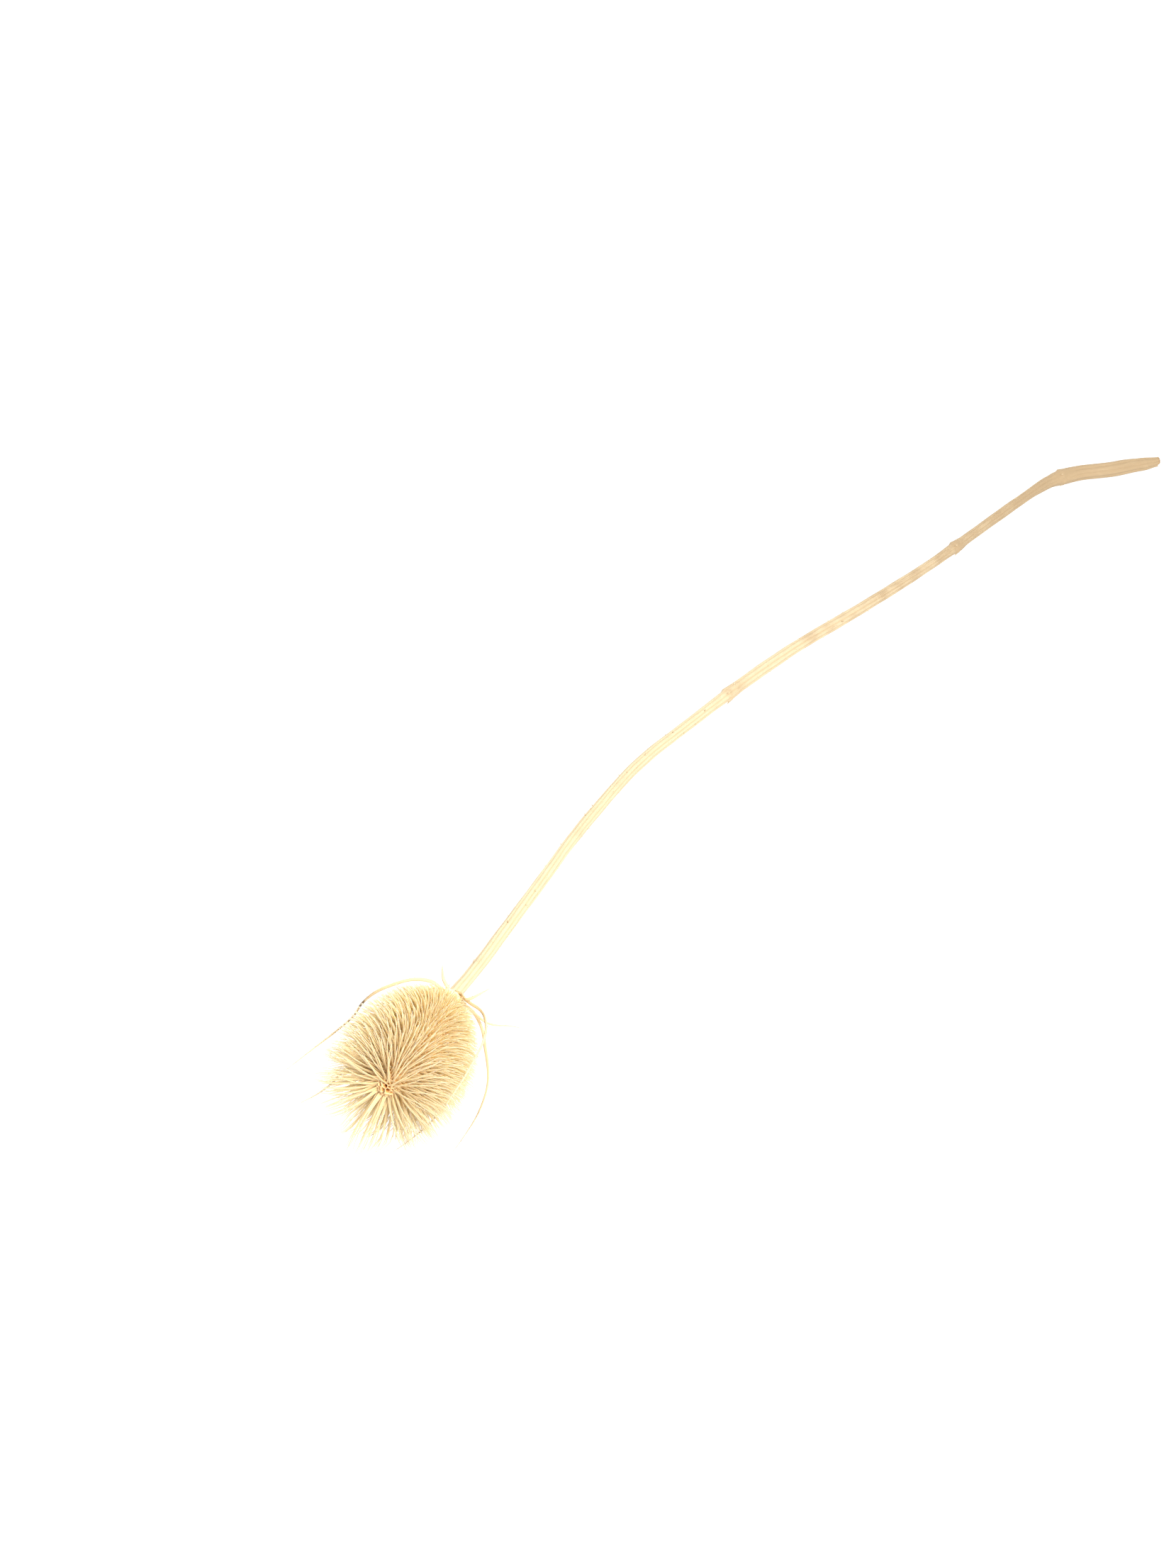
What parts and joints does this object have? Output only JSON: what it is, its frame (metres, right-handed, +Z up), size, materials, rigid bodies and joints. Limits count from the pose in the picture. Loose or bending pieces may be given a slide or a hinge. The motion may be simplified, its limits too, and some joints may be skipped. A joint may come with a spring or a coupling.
{
  "type": "dried teasel seed head",
  "caption": "Dried teasel lying down: ovoid seed head set with stiff awns, thin bracts curving round it, and a long fluted stem with swollen nodes and a slanted cut end.",
  "frame": {"origin": "on the surface that the teasel lies on, under the middle of its bounding box", "axes": "+X along the stem from the head to the cut end, +Z up from the surface"},
  "size_m": [0.598, 0.082, 0.0476],
  "materials": {
    "stem": "dry fluted straw, cream, with a low sheen on the ridges",
    "seed_head": "stiff dry awns, cream straw, browner in the cells",
    "bracts": "thin dry straw blades, brown in places"
  },
  "bodies": {
    "root": {"stem": "stem", "seed_head": "seed_head", "bract_left_long": "bracts", "bract_right_flank": "bracts", "bract_right_arc": "bracts", "bract_right_spike": "bracts", "bract_right_short": "bracts", "bract_top_short": "bracts", "bract_left_stub": "bracts", "bract_left_under": "bracts", "bract_right_under": "bracts"}
  },
  "joints": []
}
